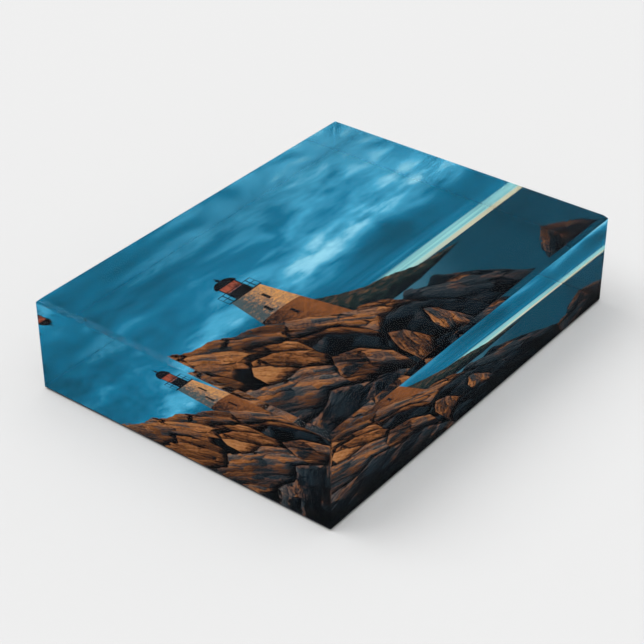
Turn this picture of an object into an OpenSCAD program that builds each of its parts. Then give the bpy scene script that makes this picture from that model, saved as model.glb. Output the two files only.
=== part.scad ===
// Glass picture paperweight: a thick bevelled glass block with a picture bonded under it,
// standing on a thin self-adhesive felt pad. The parts are a stack of flat layers.
//
// Frame: millimetres, +Z up, the origin on the surface that the paperweight stands on,
// under the middle of the block. +X runs along the long side, from the picture's left
// to its right, and +Y from the picture's lower edge to its upper edge.

/* [Glass block] */
// Length of the block, along X
block_length = 101.6; // [60:0.1:160]
// Width of the block, along Y
block_width = 76.2; // [50:0.1:120]
// Thickness of the glass alone
glass_thickness = 21.9; // [12:0.1:32]
// Leg of the polished 45 degree bevel round the top face
top_bevel = 0.9; // [0.3:0.1:2]
// Leg of the small ground arris round the bottom face
bottom_arris = 0.1; // [0.05:0.05:0.8]
// Radius of the four upright edges
upright_radius = 0.3; // [0.2:0.1:3]

/* [Picture print] */
// Thickness of the clear film that bonds the picture to the glass
bond_thickness = 0.06; // [0.05:0.01:0.2]
// Thickness of the printed sheet
print_thickness = 0.2; // [0.1:0.01:0.4]
// Gap from the glass's side to the edge of the print and of its bond
print_inset = 0; // [0:0.05:1]

/* [Base pad] */
// Thickness of the adhesive film that holds the pad to the back of the print
pad_film_thickness = 0.06; // [0.05:0.01:0.2]
// Thickness of the felt pad
pad_thickness = 0.4; // [0.3:0.05:2]
// Gap from the glass's side to the pad's edge
pad_inset = 0.8; // [0.3:0.1:3]
// Corner radius of the pad and of its adhesive film
pad_corner_radius = 2; // [0.5:0.1:6]

/* [Hidden] */
$fn = 48;

// Heights of the layers above the surface that the paperweight stands on
pad_film_base = pad_thickness;
print_base = pad_film_base + pad_film_thickness;
bond_base = print_base + print_thickness;
glass_base = bond_base + bond_thickness;
// How far the cutting outlines of the block run past its sides
overrun = 1;

// A flat sheet centred on the origin with true arcs at its corners, drawn as two
// crossed bars and a disc at each corner.
module rounded_sheet(length, width, thickness, radius) {
    linear_extrude(thickness) {
        square([length - 2 * radius, width], center = true);
        square([length, width - 2 * radius], center = true);
        for (side_x = [-1, 1], side_y = [-1, 1])
            translate([side_x * (length / 2 - radius), side_y * (width / 2 - radius)])
                circle(radius);
    }
}

// One end view of the block, with the bottom arris and the top bevel on both sides.
module edge_profile(span) {
    half = span / 2;
    polygon([
        [-half + bottom_arris, 0],
        [half - bottom_arris, 0],
        [half, bottom_arris],
        [half, glass_thickness - top_bevel],
        [half - top_bevel, glass_thickness],
        [-half + top_bevel, glass_thickness],
        [-half, glass_thickness - top_bevel],
        [-half, bottom_arris]
    ]);
}

// The end view carried along the block's length, which bevels its two long sides.
module bevelled_along_length() {
    rotate([90, 0, 90])
        translate([0, 0, -block_length / 2 - overrun])
            linear_extrude(block_length + 2 * overrun)
                edge_profile(block_width);
}

// The end view carried across the block's width, which bevels its two short sides.
module bevelled_across_width() {
    rotate([90, 0, 0])
        translate([0, 0, -block_width / 2 - overrun])
            linear_extrude(block_width + 2 * overrun)
                edge_profile(block_length);
}

// The clear glass block, with its top face, four sides, bevels and upright edges.
module glass_block() {
    color([0.86, 0.93, 0.93, 0.45])
        translate([0, 0, glass_base])
            intersection() {
                rounded_sheet(block_length, block_width, glass_thickness, upright_radius);
                bevelled_along_length();
                bevelled_across_width();
            }
}

// The clear film adhesive between the glass and the picture.
module print_bond_film() {
    color([0.9, 0.95, 0.98, 0.5])
        translate([0, 0, bond_base])
            rounded_sheet(block_length - 2 * print_inset, block_width - 2 * print_inset,
                          bond_thickness, upright_radius);
}

// The printed picture, a seascape in teal and brown, face up against the glass.
module picture_print() {
    color([0.13, 0.38, 0.48])
        translate([0, 0, print_base])
            rounded_sheet(block_length - 2 * print_inset, block_width - 2 * print_inset,
                          print_thickness, upright_radius);
}

// The adhesive film on the back of the felt pad.
module pad_adhesive_film() {
    color([0.85, 0.83, 0.76])
        translate([0, 0, pad_film_base])
            rounded_sheet(block_length - 2 * pad_inset, block_width - 2 * pad_inset,
                          pad_film_thickness, pad_corner_radius);
}

// The dark felt pad that the paperweight stands on.
module base_pad() {
    color([0.05, 0.06, 0.07])
        rounded_sheet(block_length - 2 * pad_inset, block_width - 2 * pad_inset,
                      pad_thickness, pad_corner_radius);
}

glass_block();
print_bond_film();
picture_print();
pad_adhesive_film();
base_pad();
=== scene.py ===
"""Glass picture paperweight: a clear bevelled block with a printed seascape bonded under it.

The block, the clear bond, the printed sheet, the pad's adhesive film and the felt pad lie on
each other as flat layers. Lengths are in metres unless a name ends in _mm. The picture is
painted by formulas in millimetres from the middle of the sheet, x to the right and y up.
"""

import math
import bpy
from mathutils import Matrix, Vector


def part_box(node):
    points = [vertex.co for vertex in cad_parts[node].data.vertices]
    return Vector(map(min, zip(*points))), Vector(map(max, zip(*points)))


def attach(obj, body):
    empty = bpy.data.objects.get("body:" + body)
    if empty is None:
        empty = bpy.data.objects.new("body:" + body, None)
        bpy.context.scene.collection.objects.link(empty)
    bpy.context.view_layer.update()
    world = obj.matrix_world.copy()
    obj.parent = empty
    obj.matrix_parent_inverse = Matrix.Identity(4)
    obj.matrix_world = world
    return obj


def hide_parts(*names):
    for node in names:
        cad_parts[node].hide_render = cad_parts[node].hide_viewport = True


bl_info = {
    "name": "Glass Picture Paperweight",
    "version": (1, 0, 0),
    "blender": (4, 5, 0),
    "location": "3D View > Sidebar > Paperweight",
    "description": "Builds a glass paperweight with a picture under it, on a plain stage",
    "category": "Object",
}

from collections import namedtuple

import bpy
import numpy as np
from bpy.props import FloatProperty, FloatVectorProperty, PointerProperty
from mathutils import Vector

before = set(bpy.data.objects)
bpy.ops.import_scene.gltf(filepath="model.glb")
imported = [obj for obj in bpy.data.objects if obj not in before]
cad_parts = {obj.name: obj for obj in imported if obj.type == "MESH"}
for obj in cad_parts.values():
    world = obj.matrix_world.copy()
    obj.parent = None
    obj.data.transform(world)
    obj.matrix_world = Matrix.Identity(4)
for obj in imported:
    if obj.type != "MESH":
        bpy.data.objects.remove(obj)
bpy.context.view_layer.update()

MM = 0.001

# How far the glass runs down into the print, so that no air is left between the two
CONTACT_DEPTH = 0.004 * MM
# How far the print's face lies under the bond film's own underside
FACE_DROP = 0.001 * MM
# How far the bond stays back from the glass's sides
BOND_INSET = 0.05 * MM
# How strongly the wetted glass darkens a pale ink; a chosen number
WETTING = 1.5
# How far the drawn lines of the picture reach from its middle, in millimetres
REACH = 51


def colour_property(name, description, colour):
    """A colour that a user can change, given as red, green and blue from 0 to 1."""
    return FloatVectorProperty(
        name=name, description=description, default=colour, size=3, min=0.0, max=1.0, subtype="COLOR"
    )


def length_property(name, description, metres):
    """A length that a user can change."""
    return FloatProperty(
        name=name, description=description, default=metres, min=0.0, precision=5, unit="LENGTH"
    )


def spot_property(name, description, spot_mm):
    """A place that a user can change, given in millimetres."""
    metres = tuple(distance * MM for distance in spot_mm)
    return FloatVectorProperty(
        name=name, description=description, default=metres, size=3, precision=5, subtype="TRANSLATION"
    )


# Settings


class GlassSettings(bpy.types.PropertyGroup):
    """Finish of the glass block."""

    tint: colour_property("Tint", "Colour of light that has passed the glass", (0.975, 0.992, 0.995))
    refraction: FloatProperty(
        name="Refractive index", description="Index of the clear glass", default=1.5, min=1.3, max=1.8
    )
    mirror_share: FloatProperty(
        name="Mirror share",
        description="Share of a bare surface's mirroring that is left",
        default=0.08,
        min=0,
        max=1,
    )
    edge_softness: length_property("Edge softness", "Radius left on the bevels by polishing", 0.05 * MM)


class PictureSettings(bpy.types.PropertyGroup):
    """Inks of the printed picture."""

    sky_deep: colour_property("Deep sky", "Darkest cloud", (0.003, 0.060, 0.105))
    sky_middle: colour_property("Middle sky", "Main shade of the clouds", (0.006, 0.135, 0.25))
    sky_light: colour_property("Light sky", "Thin cloud", (0.050, 0.325, 0.55))
    sky_bright: colour_property("Bright sky", "Lit cloud", (0.27, 0.70, 0.93))
    glow_high: colour_property("High glow", "Clear air over the horizon", (0.27, 0.66, 0.66))
    glow_low: colour_property("Low glow", "Last light on the horizon", (0.62, 0.56, 0.36))
    sea_far: colour_property("Far sea", "Open water", (0.004, 0.038, 0.065))
    sea_near: colour_property("Near sea", "Water by the rocks", (0.030, 0.115, 0.165))
    tower_lit: colour_property("Lit lime wash", "Upper tower in the evening sun", (0.66, 0.26, 0.075))
    tower_half: colour_property("Half-lit lime wash", "Middle of the upper tower", (0.30, 0.15, 0.08))
    tower_dull: colour_property("Shaded lime wash", "Upper tower in the shade", (0.045, 0.065, 0.07))
    stone_lit: colour_property("Lit stone", "Bare stone in the sun", (0.22, 0.068, 0.020))
    stone_dull: colour_property("Shaded stone", "Bare stone in the shade", (0.010, 0.009, 0.010))
    lens_red: colour_property("Lens", "Red glass of the lantern", (0.29, 0.062, 0.033))
    iron: colour_property("Iron", "Black painted ironwork", (0.006, 0.007, 0.009))


class PadSettings(bpy.types.PropertyGroup):
    """Felt pad under the block."""

    felt: colour_property("Felt", "Colour of the felt", (0.012, 0.014, 0.018))
    edge_fray: length_property("Edge softness", "How far the cut edge is rounded", 0.12 * MM)


class StageSettings(bpy.types.PropertyGroup):
    """Floor, lights and camera."""

    floor: colour_property("Floor", "Colour of the plain floor", (0.5, 0.5, 0.5))
    floor_reach: length_property("Floor reach", "How far the floor goes from the middle", 6.0)
    lens: FloatProperty(
        name="Lens", description="Focal length", default=96.7, min=20, max=300, unit="CAMERA"
    )
    camera_spot: spot_property("Camera", "Where the camera stands", (-251.0, -189.7, 215.1))
    aim_spot: spot_property("Aim", "What the camera looks at", (-8.0, -3.2, 11.0))
    key_power: FloatProperty(
        name="Key light", description="Strength of the wide key light", default=1.98, min=0
    )
    key_width: FloatProperty(
        name="Key width",
        description="Angle that the key light fills",
        default=math.radians(48),
        subtype="ANGLE",
    )
    key_spot: spot_property("Key direction", "Where the key light comes from", (-420.0, 900.0, 1350.0))
    dome_strength: FloatProperty(
        name="Dome", description="Brightness of the light from all round", default=2.5, min=0
    )


class PaperweightSettings(bpy.types.PropertyGroup):
    """All settings of the paperweight."""

    glass: PointerProperty(type=GlassSettings)
    picture: PointerProperty(type=PictureSettings)
    pad: PointerProperty(type=PadSettings)
    stage: PointerProperty(type=StageSettings)


# Surfaces


def rounded_outline(half_x, half_y, radius, steps=6):
    """A rounded rectangle, anticlockwise from above.

    Each corner's points are its centre plus the radius times (cos a, sin a), with a running
    over that corner's quarter turn.
    """
    quarter = np.linspace(0, np.pi / 2, steps)
    angle = (np.arange(4)[:, None] * np.pi / 2 + quarter).ravel()
    side_x = np.repeat([1, -1, -1, 1], steps)
    side_y = np.repeat([1, 1, -1, -1], steps)
    x = side_x * (half_x - radius) + radius * np.cos(angle)
    y = side_y * (half_y - radius) + radius * np.sin(angle)
    return np.stack([x, y], axis=1)


def softened(path, radius, steps=4):
    """A path of (inset, height) points with its inner corners rounded.

    A corner p becomes the curve (1-t)^2 a + 2t(1-t) p + t^2 b, where a and b lie on its two
    sides at the radius from it, or at two fifths of a shorter side.
    """
    path = np.asarray(path, float)
    before, corner, after = path[:-2], path[1:-1], path[2:]
    reach_in = np.minimum(radius, 0.4 * np.linalg.norm(before - corner, axis=1))[:, None]
    reach_out = np.minimum(radius, 0.4 * np.linalg.norm(after - corner, axis=1))[:, None]
    start = corner + (before - corner) / np.linalg.norm(before - corner, axis=1)[:, None] * reach_in
    end = corner + (after - corner) / np.linalg.norm(after - corner, axis=1)[:, None] * reach_out
    t = np.linspace(0, 1, steps)[None, :, None]
    curve = (1 - t) ** 2 * start[:, None] + 2 * t * (1 - t) * corner[:, None] + t**2 * end[:, None]
    return np.concatenate([path[:1], curve.reshape(-1, 2), path[-1:]])


def stacked_mesh(name, path, half_x, half_y, radius, steps=6):
    """A closed solid of rounded rectangles stacked along a path of (inset, height) points.

    Ring k is the outline drawn in by the path's inset k, at its height k. Quads join
    each ring to the next, and one flat face closes each end.
    """
    rings = []
    for inset, height in path:
        ring_radius = max(radius - inset, 0.2 * radius)
        ring = rounded_outline(half_x - inset, half_y - inset, ring_radius, steps)
        rings.append(np.column_stack([ring, np.full(len(ring), height)]))
    points = np.concatenate(rings)
    count = len(rings[0])
    first = np.arange(count)
    following = np.roll(first, -1)
    level = np.arange(len(rings) - 1)[:, None, None] * count
    quads = (np.stack([first, following, following + count, first + count], axis=1) + level).reshape(-1, 4)
    bottom = first[::-1]
    top = first + (len(rings) - 1) * count
    mesh = bpy.data.meshes.new(name)
    mesh.from_pydata(points.tolist(), [], [*quads.tolist(), bottom.tolist(), top.tolist()])
    mesh.update()
    return mesh


def add_piece(name, mesh, replaced=()):
    """Puts a finished mesh in the scene as a piece of the root body."""
    piece = bpy.data.objects.new(name, mesh)
    bpy.context.scene.collection.objects.link(piece)
    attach(piece, "root")
    if replaced:
        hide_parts(*replaced)
    return piece


def node_points(node):
    """All points of a CAD node's mesh."""
    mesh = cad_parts[node].data
    points = np.empty(len(mesh.vertices) * 3, np.float32)
    mesh.vertices.foreach_get("co", points)
    return points.reshape(-1, 3).astype(float)


def cad_layer(node):
    """Half sizes, lowest and highest level of a flat CAD layer."""
    low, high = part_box(node)
    return high[0], high[1], low[2], high[2]


def corner_radius(node):
    """Radius of a layer's upright corners: what the straight part of its right side leaves over."""
    points = node_points(node)
    half_x, half_y, _, _ = cad_layer(node)
    on_side = np.isclose(points[:, 0], half_x, atol=1e-6)
    return half_y - points[on_side, 1].max()


# Materials


def new_material(name):
    """An empty node material, with its Principled shader."""
    material = bpy.data.materials.new(name)
    material.use_nodes = True
    return material, material.node_tree.nodes["Principled BSDF"]


class Recipe:
    """Adds nodes to one material, and feeds numbers, colours or sockets to their inputs."""

    def __init__(self, material):
        self.tree = material.node_tree

    def node(self, kind, settings=(), **inputs):
        made = self.tree.nodes.new(kind)
        for key, value in dict(settings).items():
            setattr(made, key, value)
        for key, value in inputs.items():
            self.feed(made.inputs[key.replace("_", " ")], value)
        return made

    def feed(self, socket, value):
        if isinstance(value, Field):
            value = value.socket
        if isinstance(value, bpy.types.NodeSocket):
            self.tree.links.new(value, socket)
        else:
            socket.default_value = value


class Field:
    """A number or a colour at every point, held as a node socket.

    The signs + - * and / add Math nodes, so a pattern reads as its own formula.
    """

    def __init__(self, recipe, socket):
        self.recipe, self.socket = recipe, socket

    def math(self, operation, *others, clamp=False):
        node = self.recipe.node("ShaderNodeMath", {"operation": operation, "use_clamp": clamp})
        for socket, value in zip(node.inputs, (self, *others)):
            self.recipe.feed(socket, value)
        return Field(self.recipe, node.outputs[0])

    def __add__(self, other):
        return self.math("ADD", other)

    __radd__ = __add__

    def __sub__(self, other):
        return self.math("SUBTRACT", other)

    def __rsub__(self, other):
        return (self * -1.0).math("ADD", other)

    def __mul__(self, other):
        return self.math("MULTIPLY", other)

    __rmul__ = __mul__

    def __truediv__(self, other):
        return self.math("DIVIDE", other)

    def __neg__(self):
        return self * -1.0

    def __abs__(self):
        return self.math("ABSOLUTE")

    def clamp(self):
        return self.math("ADD", 0.0, clamp=True)


# Formulas of the picture


def smoothstep(field, start, end):
    """0 at start and 1 at end, with the S-curve 3t^2 - 2t^3 between them."""
    node = field.recipe.node(
        "ShaderNodeMapRange",
        {"interpolation_type": "SMOOTHSTEP"},
        Value=field,
        From_Min=start,
        From_Max=end,
    )
    return Field(field.recipe, node.outputs[0])


def bell(field, width):
    """A bump round zero: e to the power of minus (field / width) squared."""
    scaled = field / width
    return (-(scaled * scaled)).math("EXPONENT")


def between(field, low, high, soft):
    """1 where field lies between low and high, with edges that are soft wide."""
    return smoothstep(field - low, 0.0, soft) * smoothstep(field - high, 0.0, -soft)


def place(x, y, z=0.0):
    """A point made of three fields or numbers."""
    return Field(x.recipe, x.recipe.node("ShaderNodeCombineXYZ", X=x, Y=y, Z=z).outputs[0])


def noise(x, y, seed=0.0, detail=3.0, roughness=0.5, distortion=0.0):
    """Cloudy noise from 0 to 1, about one lump for each unit of x and y."""
    node = x.recipe.node(
        "ShaderNodeTexNoise",
        Vector=place(x, y, seed),
        Scale=1.0,
        Detail=detail,
        Roughness=roughness,
        Distortion=distortion,
    )
    return Field(x.recipe, node.outputs["Fac"])


def cells(x, y, seed=0.0):
    """Broken faces, about one to each unit of x and y.

    Gives a level from 0 to 1 for each face, and how far y is over that face's middle.
    """
    node = x.recipe.node("ShaderNodeTexVoronoi", Vector=place(x, y, seed), Scale=1.0)
    level = x.recipe.node("ShaderNodeSeparateColor", Color=node.outputs["Color"]).outputs[0]
    middle = x.recipe.node("ShaderNodeSeparateXYZ", Vector=node.outputs["Position"]).outputs["Y"]
    return Field(x.recipe, level), y - Field(x.recipe, middle)


def cracks(x, y, seed=0.0):
    """Distance to the nearest crack between the faces that cells() makes."""
    node = x.recipe.node(
        "ShaderNodeTexVoronoi", {"feature": "DISTANCE_TO_EDGE"}, Vector=place(x, y, seed), Scale=1.0
    )
    return Field(x.recipe, node.outputs["Distance"])


def outline(x, points):
    """The height of a line drawn through (x, height) points, in millimetres, at each x."""
    span = 2.0 * REACH
    node = x.recipe.node("ShaderNodeFloatCurve", Value=x / span + 0.5)
    curve = node.mapping.curves[0]
    for index, (across, height) in enumerate(points):
        spot = (across / span + 0.5, height / span + 0.5)
        if index < 2:
            curve.points[index].location = spot
        else:
            curve.points.new(*spot)
    for point in curve.points:
        point.handle_type = "VECTOR"
    node.mapping.update()
    return (Field(x.recipe, node.outputs[0]) - 0.5) * span


def mix(low, high, share):
    """low where share is 0 and high where it is 1, for two numbers or fields."""
    return (high - low) * share + low


def colour_input(colour):
    """A colour as a node input takes it."""
    return colour if isinstance(colour, Field) else (*colour, 1.0)


def blend(under, over, share):
    """The colour over laid on the colour under, by share."""
    node = share.recipe.node("ShaderNodeMix", {"data_type": "RGBA"})
    share.recipe.feed(node.inputs[0], share)
    share.recipe.feed(node.inputs[6], colour_input(under))
    share.recipe.feed(node.inputs[7], colour_input(over))
    return Field(share.recipe, node.outputs[2])


def ramp(field, stops):
    """Colours along a field, from (level, colour) stops."""
    node = field.recipe.node("ShaderNodeValToRGB", Fac=field)
    elements = node.color_ramp.elements
    for index, (level, colour) in enumerate(stops):
        if index < 2:
            elements[index].position = level
        stop = elements[index] if index < 2 else elements.new(level)
        stop.color = (*colour, 1.0)
    return Field(field.recipe, node.outputs["Color"])


def paint_sky(x, y, inks):
    """Evening clouds: a lit bank that rises to the right, drawn out into streaks near the horizon."""
    drift = noise(x * 0.035, y * 0.06, 3.0, 2.0) - 0.5
    low = smoothstep(y, 13.0, -5.0)
    bank_height = smoothstep(x, -6.0, 30.0) * 5.0 + 9.5
    patches = smoothstep(noise(x * 0.07, y * 0.16, 8.0, 4.0), 0.30, 0.62)
    bank = bell(y - bank_height + drift * 8.0, 4.6) * patches
    lumps = noise(x * 0.045, y * 0.10, 1.0, 5.0, 0.50, 0.5) - 0.5
    wisps = noise(x * 0.10 + drift * 2.0, y * 0.34, 5.0, 4.0, 0.55, 0.3) - 0.5
    streaks = noise(x * 0.018, y * 0.55, 7.0, 4.0, 0.6) - 0.5
    level = bank * 0.42 + 0.45 + (lumps * 1.05 + wisps * 0.40) * (1.0 - low * 0.75) + streaks * low * 0.8
    level = level - low * 0.13 + smoothstep(x + y * 0.5, -30.0, 60.0) * 0.26 - 0.16
    dark_band = bell(y - 3.5, 5.5) * smoothstep(x, 5.0, 32.0)
    return ramp(
        level - dark_band * 0.26,
        [(0.08, inks.sky_deep), (0.39, inks.sky_middle), (0.66, inks.sky_light), (0.92, inks.sky_bright)],
    )


def paint_glow(x, y, picture, inks):
    """The clear strip over the horizon, aqua above and cream below, stronger to the right."""
    strands = noise(x * 0.02, y * 1.6, 4.0, 3.0)
    reach = smoothstep(x, -6.0, 16.0)
    high = between(y, -8.9, -4.3, 0.9) * (strands * 1.7 - 0.05) * reach
    low = between(y, -8.9, -7.0, 0.5) * smoothstep(x, 8.0, 44.0)
    return blend(blend(picture, inks.glow_high, high.clamp()), inks.glow_low, low)


def paint_sea(x, y, picture, inks):
    """Still water below the horizon, lighter towards the shore on the left."""
    near = smoothstep(x - y * 0.6, 40.0, 14.0) * smoothstep(y, -30.0, -14.0)
    ripple = noise(x * 0.03, y * 0.5, 2.0, 3.0) - 0.5
    water = blend(inks.sea_far, inks.sea_near, (near + ripple * 0.35).clamp())
    return blend(picture, water, smoothstep(y, -8.35, -8.6))


def paint_headland(x, y, picture):
    """A low far point of land, dark and wet along its foot."""
    jag = noise(x * 0.9, y * 0.2, 6.0, 4.0, 0.6) - 0.5
    crest = outline(
        x, [(-REACH, 3), (-6, 3), (0, -1), (6, -4), (12, -5), (20, -8), (28, -9), (36, -10), (REACH, -12)]
    )
    foot = outline(x, [(-REACH, -13), (4, -12), (16, -12), (27, -11), (36, -10), (REACH, -9)])
    body = smoothstep(crest + jag * 1.3 - y, 0.0, 0.3) * smoothstep(y - foot + jag * 0.8, 0.0, 0.3)
    growth = noise(x * 0.35, y * 0.8, 9.0, 6.0, 0.65)
    height = smoothstep((y - foot) / (crest - foot), 0.15, 0.75)
    land = ramp(
        (growth - 0.5) * 2.1 + height * 0.45,
        [
            (0.0, (0.002, 0.004, 0.006)),
            (0.40, (0.010, 0.020, 0.020)),
            (0.66, (0.060, 0.036, 0.022)),
            (1.0, (0.24, 0.105, 0.05)),
        ],
    )
    return blend(picture, land, body)


def paint_tower(x, y, picture, inks):
    """A round tapering tower, lime-washed above and bare stone below, with its lantern.

    across runs from -1 at the tower's left side to 1 at its right, and the rings of the
    round tower rise in the middle by the half ellipse sqrt(1 - across^2).
    """
    axis = -11.7
    half_width = (15.0 - y) * 0.19 + 4.8
    across = (x - axis) / half_width
    ring = (1.0 - across * across).math("MAXIMUM", 0.0).math("SQRT")
    inside = smoothstep((1.0 - abs(across)) * half_width, 0.0, 0.2)
    lit = smoothstep(across, -1.15, 1.0)

    level = y - ring * 0.7
    stones = cells(across * 6.0 + 3.0, level * 1.7, 2.0)[0] - 0.5
    joints = smoothstep(cracks(across * 6.0 + 3.0, level * 1.7, 2.0), 0.0, 0.12)
    stain = noise(x * 0.7, y * 0.09, 4.0, 4.0, 0.6) - 0.5
    grit = noise(x * 2.4, y * 2.4, 1.0, 3.0, 0.7) - 0.5
    upper = ramp(
        lit * 0.95 - 0.03 + stain * 0.80 + stones * 0.40 + grit * 1.2 - (1.0 - joints) * 0.36,
        [(0.08, inks.tower_dull), (0.50, inks.tower_half), (0.95, inks.tower_lit)],
    )
    stone_light = (lit * 0.9 + stones * 0.40 + grit * 0.9 - (1.0 - joints) * 0.30).clamp()
    lower = blend(inks.stone_dull, inks.stone_lit, stone_light)
    wall = blend(upper, lower, smoothstep(level, 4.75, 4.55))
    wall = blend(wall, (0.60, 0.33, 0.17), between(level, 14.0, 14.5, 0.15) * lit * 0.7)

    # Window slots, which climb with the stair
    slots = x * 0.0
    for left, foot in ((-10.2, 9.4), (-13.6, 6.0), (-10.8, 1.0)):
        slot = between(x, left, left + 1.1, 0.2) * between(y, foot, foot + 2.6, 0.2)
        slots = slots.math("MAXIMUM", slot)
    wall = blend(wall, inks.iron, slots)
    picture = blend(picture, wall, inside * smoothstep(level, 14.55, 14.35))

    # Lantern room: drum, red glass with bars, domed roof with a ball and a spike
    side = abs(x - axis)
    drum = smoothstep(side, 2.95, 2.75) * between(y, 14.6, 17.7, 0.2)
    drum = drum.math("MAXIMUM", between(side, 2.35, 2.85, 0.15) * between(y, 17.5, 20.5, 0.2))
    lens = smoothstep(side, 2.6, 2.4) * between(y, 17.5, 20.5, 0.2)
    gleam = noise(x * 0.9, y * 0.9, 5.0, 3.0) * 1.3 - across * 0.25
    picture = blend(picture, blend(inks.iron, inks.lens_red, smoothstep(gleam, 0.25, 0.8)), lens)
    bars = smoothstep(abs((side / 1.7).math("FRACT") - 0.5), 0.43, 0.48) * lens * 0.7
    rise = (y - 20.2) / 2.3
    roof_half = (1.0 - rise * rise).math("MAXIMUM", 0.0).math("SQRT") * 3.4
    roof = smoothstep(side - roof_half, 0.0, -0.2) * between(y, 20.0, 22.4, 0.15)
    ball = smoothstep(((x - axis) * (x - axis) + (y - 22.8) * (y - 22.8)).math("SQRT"), 0.62, 0.45)
    spike = smoothstep(side, 0.22, 0.10) * between(y, 22.0, 24.0, 0.2)
    iron = drum.math("MAXIMUM", roof).math("MAXIMUM", ball).math("MAXIMUM", spike).math("MAXIMUM", bars)

    # Gallery: floor, two rails and posts
    gallery = smoothstep(side, 5.5, 5.3)
    floor = gallery * between(y, 14.5, 15.1, 0.2)
    posts = smoothstep(abs((side / 1.55 + 0.02).math("FRACT") - 0.5), 0.15, 0.08)
    posts = posts * between(y, 14.9, 18.2, 0.15)
    rails = between(y, 17.9, 18.3, 0.12).math("MAXIMUM", between(y, 16.4, 16.75, 0.12))
    iron = iron.math("MAXIMUM", floor).math("MAXIMUM", posts.math("MAXIMUM", rails) * gallery * 0.92)
    return blend(picture, inks.iron, iron)


def hump(*points):
    """A crest that drops out of the picture on both sides of its own points."""
    return [(-REACH, -REACH), *points, (REACH, -REACH)]


def fall(height, *points):
    """A crest that starts at a height on the left of the picture and drops out of it on the right."""
    return [(-REACH, height), *points, (REACH, -REACH)]


# crest: line of the top, in millimetres; slope: of the beds, in degrees; warmth: share of warm
# light from 0 to 1; lightness: from 0 to 1
RockMass = namedtuple("RockMass", "crest slope warmth lightness")

# From back to front. A height of -51 lies below the sheet
ROCK_MASSES = (
    # Wet slabs that run down to the water, and the boulders off their end
    RockMass(
        hump(
            (-4, -51), (0, -19), (5, -14), (10, -12), (14, -14), (19, -13), (25, -18), (31, -25), (38, -33),
            (44, -51),
        ),
        -30, 0.22, 0.30,
    ),
    RockMass(
        [(-REACH, -51), (28, -51), (31, -38), (36, -31), (40, -30), (43, -26), (REACH, -21)], 24, 0.40, 0.36
    ),
    # The ridge under the tower
    RockMass(
        fall(
            16, (-45, 13), (-40, 13), (-35, 10), (-29, 9), (-25, 6), (-20, 5), (-14, 1), (-9, -3), (-3, -7),
            (3, -9), (7, -13), (10, -19), (14, -51),
        ),
        -42, 0.62, 0.56,
    ),
    # A warm wall under the ridge, and a dark hollow at its foot
    RockMass(
        hump((-30, -51), (-28, 1), (-22, -2), (-15, -6), (-9, -9), (-6, -15), (-4, -51)), -66, 0.95, 0.46
    ),
    RockMass(hump((-22, -51), (-19, -9), (-14, -8), (-9, -13), (-6, -22), (-4, -51)), 20, 0.05, 0.16),
    # Two leaning blocks with a cleft between them
    RockMass(fall(4, (-46, 3), (-42, 4), (-38, 0), (-36, -10), (-34, -51)), -50, 0.90, 0.58),
    RockMass(hump((-39, -51), (-37, -5), (-34, -2), (-31, -8), (-29, -51)), -60, 0.05, 0.03),
    RockMass(
        hump((-36, -51), (-34, -6), (-30, -2), (-25, -4), (-20, -9), (-17, -18), (-15, -51)),
        -56, 0.95, 0.58,
    ),
    # Shelving slabs in the left foreground, and one that has slid off them
    RockMass(
        fall(-8, (-45, -10), (-38, -8), (-32, -12), (-26, -11), (-20, -17), (-15, -24), (-12, -51)),
        -27, 0.48, 0.50,
    ),
    RockMass(hump((-25, -51), (-23, -19), (-19, -14), (-13, -17), (-8, -25), (-5, -51)), -48, 0.66, 0.54),
    # Shadow round two upright stones, the stones, and the low slabs in front
    RockMass(
        hump((-12, -51), (-9, -21), (-4, -16), (1, -14), (6, -15), (11, -18), (16, -25), (21, -51)),
        -20, 0.12, 0.18,
    ),
    RockMass(hump((-9, -51), (-8, -24), (-5, -18), (-2, -20), (0, -27), (1, -51)), 66, 0.66, 0.44),
    RockMass(hump((3, -51), (4, -24), (7, -19), (9, -21), (11, -29), (12, -51)), 74, 0.40, 0.40),
    RockMass(
        fall(-26, (-44, -23), (-36, -24), (-28, -21), (-21, -25), (-14, -27), (-9, -34), (-5, -51)),
        22, 0.36, 0.42,
    ),
    RockMass(
        hump((-12, -51), (-7, -33), (-1, -28), (6, -29), (13, -33), (19, -38), (23, -51)), -10, 0.05, 0.26
    ),
)


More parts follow.
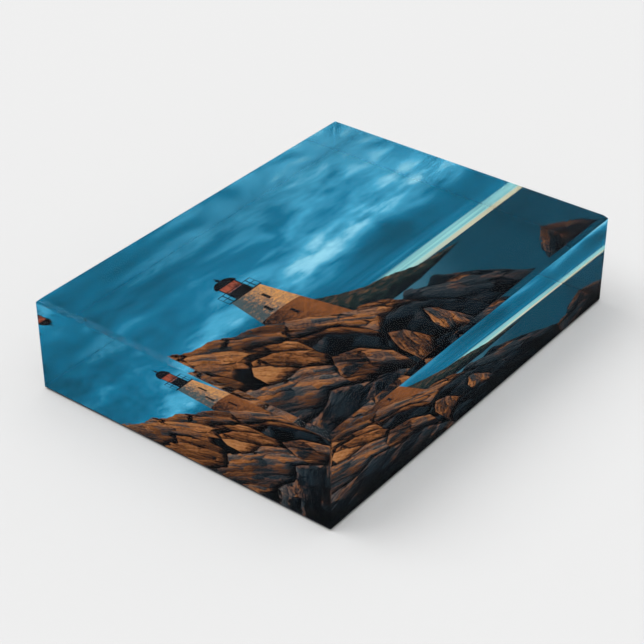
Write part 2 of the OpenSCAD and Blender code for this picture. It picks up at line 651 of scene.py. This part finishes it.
def paint_rocks(x, y, picture):
    """Slabby shore rocks, laid mass by mass from back to front.

    Each mass covers what lies below its crest, and darkens the one behind it just over the
    crest. It is lightest along the crest and darkens downwards. One set of beds, broken faces
    and grain is then drawn with each mass's own slope.
    """
    jag = noise(x * 0.30, y * 0.25, 11.0, 6.0, 0.62) - 0.5
    steps = cells(x * 0.34, y * 0.26, 12.0)[0] - 0.5
    wander = jag * 2.3 + steps * 0.9
    slope = seed = warmth = bright = body = depth = wander * 0.0
    for index, mass in enumerate(ROCK_MASSES):
        below = outline(x, mass.crest) + wander - y
        cover = smoothstep(below, 0.0, 0.25)
        shade = 1.0 - smoothstep(below, -2.8, 0.3) * 0.8
        slope = mix(slope, math.radians(mass.slope), cover)
        seed = mix(seed, index * 7.3, cover)
        warmth = mix(warmth, mass.warmth, cover)
        bright = mix(bright * shade, mass.lightness, cover)
        depth = mix(depth, below, cover)
        body = body.math("MAXIMUM", cover)

    bend_x = noise(x * 0.10, y * 0.10, 21.0, 2.0) - 0.5
    bend_y = noise(x * 0.10, y * 0.10, 22.0, 2.0) - 0.5
    turned_x, turned_y = x + bend_x * 4.0, y + bend_y * 4.0
    cosine, sine = slope.math("COSINE"), slope.math("SINE")
    along = turned_x * cosine + turned_y * sine + steps * 1.4
    over = turned_y * cosine - turned_x * sine + jag * 1.6

    big, big_rise = cells(along * 0.085, over * 0.22, seed)
    small, small_rise = cells(along * 0.26, over * 0.75, seed)
    closed = (noise(x * 0.22, y * 0.22, 41.0, 3.0) - 0.44) * 0.30
    gap = smoothstep(cracks(along * 0.085, over * 0.22, seed) + closed, 0.0, 0.05)
    beds = noise(along * 0.13, over * 1.3, seed, 5.0, 0.62) - 0.5
    streaks = noise(along * 0.45, over * 3.6, seed, 3.0, 0.6) - 0.5
    grain = noise(x * 1.6, y * 1.6, 13.0, 5.0, 0.75) - 0.5
    lumps = noise(x * 0.10, y * 0.14, 14.0, 3.0) - 0.5

    coarse = smoothstep(noise(x * 0.11, y * 0.11, 31.0, 2.0), 0.35, 0.65) * 0.9 + 0.25
    facets = (big - 0.5) * 0.46 + big_rise * 0.16 + ((small - 0.5) * 0.24 + small_rise * 0.12) * coarse
    texture = facets + beds * 0.80 + (streaks * 0.95 + grain * 1.30) * coarse + lumps * 0.60
    light = bright + smoothstep(depth, 1.8, 0.3) * 0.12 - smoothstep(depth, 2.0, 16.0) * 0.16
    light = light + texture * smoothstep(bright, -0.1, 0.4) * 0.95
    light = light * (gap * 0.7 + 0.3) - smoothstep(y, -26.0, -37.0) * 0.27 - 0.015

    warm_rock = ramp(
        light,
        [
            (0.05, (0.0010, 0.0012, 0.0018)),
            (0.25, (0.008, 0.0055, 0.005)),
            (0.44, (0.055, 0.020, 0.009)),
            (0.66, (0.20, 0.067, 0.019)),
            (1.0, (0.40, 0.16, 0.055)),
        ],
    )
    cool_rock = ramp(
        light,
        [
            (0.05, (0.0006, 0.0014, 0.0022)),
            (0.28, (0.006, 0.012, 0.017)),
            (0.55, (0.030, 0.036, 0.040)),
            (0.95, (0.15, 0.125, 0.11)),
        ],
    )
    patchy = (small - 0.5) * 0.45 + lumps * 0.9 + grain * 0.6 + beds * 0.3
    warm_share = smoothstep(warmth + patchy, 0.25, 0.75)
    return blend(picture, blend(cool_rock, warm_rock, warm_share), body)


def wetted(colour):
    """The ink to print, so that it looks like a colour under wetted glass, which darkens it.

    With w the wetting, the ink is w c / (1 + (w - 1) c).
    """
    recipe = colour.recipe
    raised = recipe.node("ShaderNodeVectorMath", {"operation": "SCALE"}, Vector=colour, Scale=WETTING)
    lowered = recipe.node("ShaderNodeVectorMath", {"operation": "MULTIPLY_ADD"})
    for socket, value in zip(lowered.inputs, (colour, (WETTING - 1,) * 3, (1.0, 1.0, 1.0))):
        recipe.feed(socket, value)
    ink = recipe.node("ShaderNodeVectorMath", {"operation": "DIVIDE"})
    recipe.feed(ink.inputs[0], raised.outputs[0])
    recipe.feed(ink.inputs[1], lowered.outputs[0])
    return ink.outputs[0]


def millimetres(recipe):
    """The surface's own x, y and z in millimetres."""
    place_on_piece = recipe.node("ShaderNodeTexCoord").outputs["Object"]
    split = recipe.node("ShaderNodeSeparateXYZ", Vector=place_on_piece)
    return [Field(recipe, split.outputs[axis]) / MM for axis in "XYZ"]


def paint_picture(recipe, inks):
    """The whole seascape, painted from back to front."""
    x, y, _ = millimetres(recipe)
    picture = paint_sky(x, y, inks)
    picture = paint_glow(x, y, picture, inks)
    picture = paint_sea(x, y, picture, inks)
    picture = paint_headland(x, y, picture)
    picture = paint_tower(x, y, picture, inks)
    return wetted(paint_rocks(x, y, picture))


def glass_material(settings):
    """Clear glass whose outer faces mirror only a small share of the room.

    A ray from outside is bent by the refraction shader, but for the share that the
    Principled shader mirrors and bends. A ray that is already inside meets the Principled
    shader alone, so the far faces mirror the picture back at low angles.
    """
    material, inner = new_material("polished clear glass")
    recipe = Recipe(material)
    inner.inputs["Base Color"].default_value = (*settings.tint, 1)
    inner.inputs["Transmission Weight"].default_value = 1.0
    inner.inputs["Roughness"].default_value = 0.0
    inner.inputs["IOR"].default_value = settings.refraction
    bend = recipe.node(
        "ShaderNodeBsdfRefraction", Color=(*settings.tint, 1), Roughness=0.0, IOR=settings.refraction
    )
    inside = Field(recipe, recipe.node("ShaderNodeNewGeometry").outputs["Backfacing"])
    share = inside.math("MAXIMUM", settings.mirror_share)
    choice = recipe.node("ShaderNodeMixShader", Fac=share)
    recipe.feed(choice.inputs[1], bend.outputs[0])
    recipe.feed(choice.inputs[2], inner.outputs[0])
    recipe.feed(material.node_tree.nodes["Material Output"].inputs["Surface"], choice.outputs[0])
    return material


def bond_material():
    """Clear adhesive that hardly shows, with faint streaks from rolling it out."""
    material, shader = new_material("clear adhesive")
    recipe = Recipe(material)
    x, y, _ = millimetres(recipe)
    streaks = noise(x * 0.06, y * 0.5, 3.0, 4.0)
    colour = ramp(streaks, [(0.3, (0.010, 0.016, 0.020)), (0.7, (0.030, 0.042, 0.050))])
    recipe.feed(shader.inputs["Base Color"], colour)
    shader.inputs["Alpha"].default_value = 0.02
    shader.inputs["Specular IOR Level"].default_value = 0.0
    return material


def picture_material(inks):
    """The printed face, without any gloss of its own under the bond."""
    material, shader = new_material("printed seascape")
    recipe = Recipe(material)
    recipe.feed(shader.inputs["Base Color"], paint_picture(recipe, inks))
    shader.inputs["Specular IOR Level"].default_value = 0.0
    shader.inputs["Roughness"].default_value = 0.8
    return material


def dark_edge_and_foot_shade_material():
    """The dark sealing coat on the sheet's edge and back, with roller streaks. On the edge it is also
    painted shade, standing in for the thin shadow line along the block's foot.
    """
    material, shader = new_material("dark edge and back with painted foot shade")
    recipe = Recipe(material)
    x, y, _ = millimetres(recipe)
    rolled = noise(x * 0.15, y * 2.2, 6.0, 4.0)
    # Near-black coat colour; on the sheet's edge it is also painted shade for the shadow line at the
    # block's foot
    colour = ramp(rolled, [(0.3, (0.006, 0.007, 0.009)), (0.75, (0.020, 0.022, 0.026))])
    recipe.feed(shader.inputs["Base Color"], colour)
    shader.inputs["Roughness"].default_value = 0.7
    return material


def felt_material(settings):
    """Pressed wool felt: short fibres lying every way over hollows that are darkened with painted shade."""
    material, shader = new_material("dark felt")
    recipe = Recipe(material)
    x, y, z = millimetres(recipe)
    bend = noise(x * 0.8, y * 0.8, 5.0, 2.0) * 4.0
    lengthways = noise(x * 1.1 + bend, y * 9.0 + z * 9.0, 1.0, 2.0, 0.6)
    crossways = noise(x * 9.0 + z * 9.0, y * 1.1 + bend, 2.0, 2.0, 0.6)
    slanting = noise((x + y) * 1.0 + bend, (x - y) * 7.0, 3.0, 2.0, 0.6)
    fibres = lengthways.math("MAXIMUM", crossways).math("MAXIMUM", slanting)
    clumps = noise(x * 0.45, y * 0.45, 4.0, 4.0, 0.6)
    # Low pile is darker and high pile paler, following the same height the bump uses: painted shade in the
    # hollows and painted light on the fibre tops
    dark = tuple(0.45 * level for level in settings.felt)
    pale = tuple(2.2 * level for level in settings.felt)
    pile = fibres * 0.8 + clumps * 0.5
    colour = ramp(pile, [(0.55, dark), (0.72, tuple(settings.felt)), (0.92, pale)])
    recipe.feed(shader.inputs["Base Color"], colour)
    bump = recipe.node("ShaderNodeBump", Strength=0.6, Distance=0.05 * MM, Height=pile)
    recipe.feed(shader.inputs["Normal"], bump.outputs[0])
    shader.inputs["Roughness"].default_value = 0.95
    shader.inputs["Specular IOR Level"].default_value = 0.1
    shader.inputs["Sheen Weight"].default_value = 0.25
    shader.inputs["Sheen Roughness"].default_value = 0.6
    return material


def adhesive_material():
    """Grey double-sided tape, rolled on with a few trapped streaks."""
    material, shader = new_material("pad adhesive")
    recipe = Recipe(material)
    x, y, _ = millimetres(recipe)
    streaks = noise(x * 0.12, y * 1.4, 8.0, 4.0)
    spots = cells(x * 0.35, y * 0.35, 9.0)[0]
    tape = streaks * 0.8 + spots * 0.2
    colour = ramp(tape, [(0.35, (0.012, 0.013, 0.014)), (0.7, (0.035, 0.036, 0.038))])
    recipe.feed(shader.inputs["Base Color"], colour)
    recipe.feed(shader.inputs["Roughness"], mix(0.45, 0.7, streaks))
    return material


def floor_material(settings):
    """Matt pale floor with hardly any mottling."""
    material, shader = new_material("plain pale floor")
    recipe = Recipe(material)
    x, y, _ = millimetres(recipe)
    mottle = noise(x * 0.004, y * 0.004, 0.0, 3.0)
    low = tuple(0.997 * level for level in settings.floor)
    high = tuple(1.003 * level for level in settings.floor)
    recipe.feed(shader.inputs["Base Color"], ramp(mottle, [(0.35, low), (0.65, high)]))
    shader.inputs["Roughness"].default_value = 0.9
    shader.inputs["Specular IOR Level"].default_value = 0.0
    return material


def light_dome(world, strength):
    """Soft light from all round, brighter from nearly straight above."""
    world.use_nodes = True
    background = world.node_tree.nodes["Background"]
    recipe = Recipe(world)
    direction = recipe.node("ShaderNodeTexCoord").outputs["Generated"]
    height = Field(recipe, recipe.node("ShaderNodeSeparateXYZ", Vector=direction).outputs["Z"])
    level_side, level_above = (0.36,) * 3, (0.65,) * 3
    glow = ramp(height, [(0.0, level_side), (0.68, level_side), (0.8, level_above), (1.0, level_above)])
    recipe.feed(background.inputs["Color"], glow)
    background.inputs["Strength"].default_value = strength


# Operators


class MakeStage(bpy.types.Operator):
    """Make the floor, the soft light and the camera."""

    bl_idname = "paperweight.make_stage"
    bl_label = "Stage"

    def execute(self, context):
        settings = context.scene.paperweight.stage
        scene = context.scene
        scene.view_settings.view_transform = "Standard"

        camera_data = bpy.data.cameras.new("camera")
        camera_data.lens = settings.lens
        camera_data.clip_start = 0.01
        camera = bpy.data.objects.new("camera", camera_data)
        scene.collection.objects.link(camera)
        camera.location = settings.camera_spot
        aim = Vector(settings.aim_spot)
        camera.rotation_euler = (aim - camera.location).to_track_quat("-Z", "Y").to_euler()
        scene.camera = camera

        reach = settings.floor_reach
        floor_mesh = bpy.data.meshes.new("floor")
        corners = [(-reach, -reach, 0), (reach, -reach, 0), (reach, reach, 0), (-reach, reach, 0)]
        floor_mesh.from_pydata(corners, [], [(0, 1, 2, 3)])
        floor = bpy.data.objects.new("floor", floor_mesh)
        scene.collection.objects.link(floor)
        floor_mesh.materials.append(floor_material(settings))

        lamp_data = bpy.data.lights.new("key light", "SUN")
        lamp_data.angle = settings.key_width
        lamp_data.energy = settings.key_power
        lamp = bpy.data.objects.new("key light", lamp_data)
        scene.collection.objects.link(lamp)
        lamp.location = settings.key_spot
        lamp.rotation_euler = (-lamp.location).to_track_quat("-Z", "Y").to_euler()

        scene.world = bpy.data.worlds.new("soft dome")
        light_dome(scene.world, settings.dome_strength)
        return {"FINISHED"}


class MakeGlass(bpy.types.Operator):
    """Make the clear glass block, wetted to the print by the clear bond."""

    bl_idname = "paperweight.make_glass"
    bl_label = "Glass block"

    def execute(self, context):
        settings = context.scene.paperweight.glass
        half_x, half_y, _, top = cad_layer("glass_block")
        points = node_points("glass_block")
        bevel = half_x - points[np.isclose(points[:, 2], top, atol=1e-6), 0].max()
        _, _, bond_bottom, _ = cad_layer("print_bond_film")
        contact = bond_bottom - CONTACT_DEPTH
        side_and_bevel = [(0, contact), (0, top - bevel), (bevel, top), (2 * bevel, top)]
        profile = softened(side_and_bevel, settings.edge_softness)
        mesh = stacked_mesh("glass block", profile, half_x, half_y, corner_radius("glass_block"), steps=5)
        mesh.materials.append(glass_material(settings))
        add_piece("clear_glass_block", mesh, ["glass_block"])
        return {"FINISHED"}


class MakeBond(bpy.types.Operator):
    """Make the film of clear bond between the glass and the print."""

    bl_idname = "paperweight.make_bond"
    bl_label = "Clear bond"

    def execute(self, context):
        half_x, half_y, bottom, top = cad_layer("print_bond_film")
        path = [(BOND_INSET, bottom), (BOND_INSET, top)]
        mesh = stacked_mesh("clear bond", path, half_x, half_y, corner_radius("print_bond_film"))
        mesh.materials.append(bond_material())
        add_piece("clear_bond", mesh, ["print_bond_film"])
        return {"FINISHED"}


class MakePrint(bpy.types.Operator):
    """Make the printed sheet, with the picture on its upper face."""

    bl_idname = "paperweight.make_print"
    bl_label = "Printed picture"

    def execute(self, context):
        half_x, half_y, bottom, top = cad_layer("picture_print")
        path = [(0, bottom), (0, top - FACE_DROP)]
        mesh = stacked_mesh("printed sheet", path, half_x, half_y, corner_radius("picture_print"))
        # Sides and back get the dark coat, which on the sides also paints the shadow line along the foot
        mesh.materials.append(dark_edge_and_foot_shade_material())
        mesh.materials.append(picture_material(context.scene.paperweight.picture))
        top_face = mesh.polygons[len(mesh.polygons) - 1]
        top_face.material_index = 1
        add_piece("printed_sheet", mesh, ["picture_print"])
        return {"FINISHED"}


class MakePad(bpy.types.Operator):
    """Make the felt pad and its adhesive film."""

    bl_idname = "paperweight.make_pad"
    bl_label = "Felt pad"

    def execute(self, context):
        settings = context.scene.paperweight.pad
        half_x, half_y, bottom, top = cad_layer("base_pad")
        fray = settings.edge_fray
        middle = 0.5 * (bottom + top)
        face_inset = 1.5 * MM
        edge = [(face_inset, bottom), (fray, bottom), (0, middle), (0.5 * fray, top), (face_inset, top)]
        path = softened(edge, 0.5 * fray)
        mesh = stacked_mesh("felt pad", path, half_x, half_y, corner_radius("base_pad"), steps=12)
        mesh.materials.append(felt_material(settings))
        pad = add_piece("felt_pad", mesh, ["base_pad"])
        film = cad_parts["pad_adhesive_film"]
        film.data.materials.clear()
        film.data.materials.append(adhesive_material())
        return {"FINISHED"}


class PaperweightPanel(bpy.types.Panel):
    """Buttons for each part of the paperweight."""

    bl_idname = "VIEW3D_PT_paperweight"
    bl_label = "Paperweight"
    bl_space_type = "VIEW_3D"
    bl_region_type = "UI"
    bl_category = "Paperweight"

    def draw(self, context):
        for operator in OPERATORS:
            self.layout.operator(operator.bl_idname)


OPERATORS = (MakeStage, MakeGlass, MakeBond, MakePrint, MakePad)
CLASSES = (
    GlassSettings,
    PictureSettings,
    PadSettings,
    StageSettings,
    PaperweightSettings,
    *OPERATORS,
    PaperweightPanel,
)


def register():
    for cls in CLASSES:
        bpy.utils.register_class(cls)
    bpy.types.Scene.paperweight = PointerProperty(type=PaperweightSettings)


def unregister():
    del bpy.types.Scene.paperweight
    for cls in reversed(CLASSES):
        bpy.utils.unregister_class(cls)


def main():
    """Register the add-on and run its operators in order."""
    register()
    bpy.ops.paperweight.make_stage()
    bpy.ops.paperweight.make_glass()
    bpy.ops.paperweight.make_bond()
    bpy.ops.paperweight.make_print()
    bpy.ops.paperweight.make_pad()


if __name__ == "__main__":
    main()
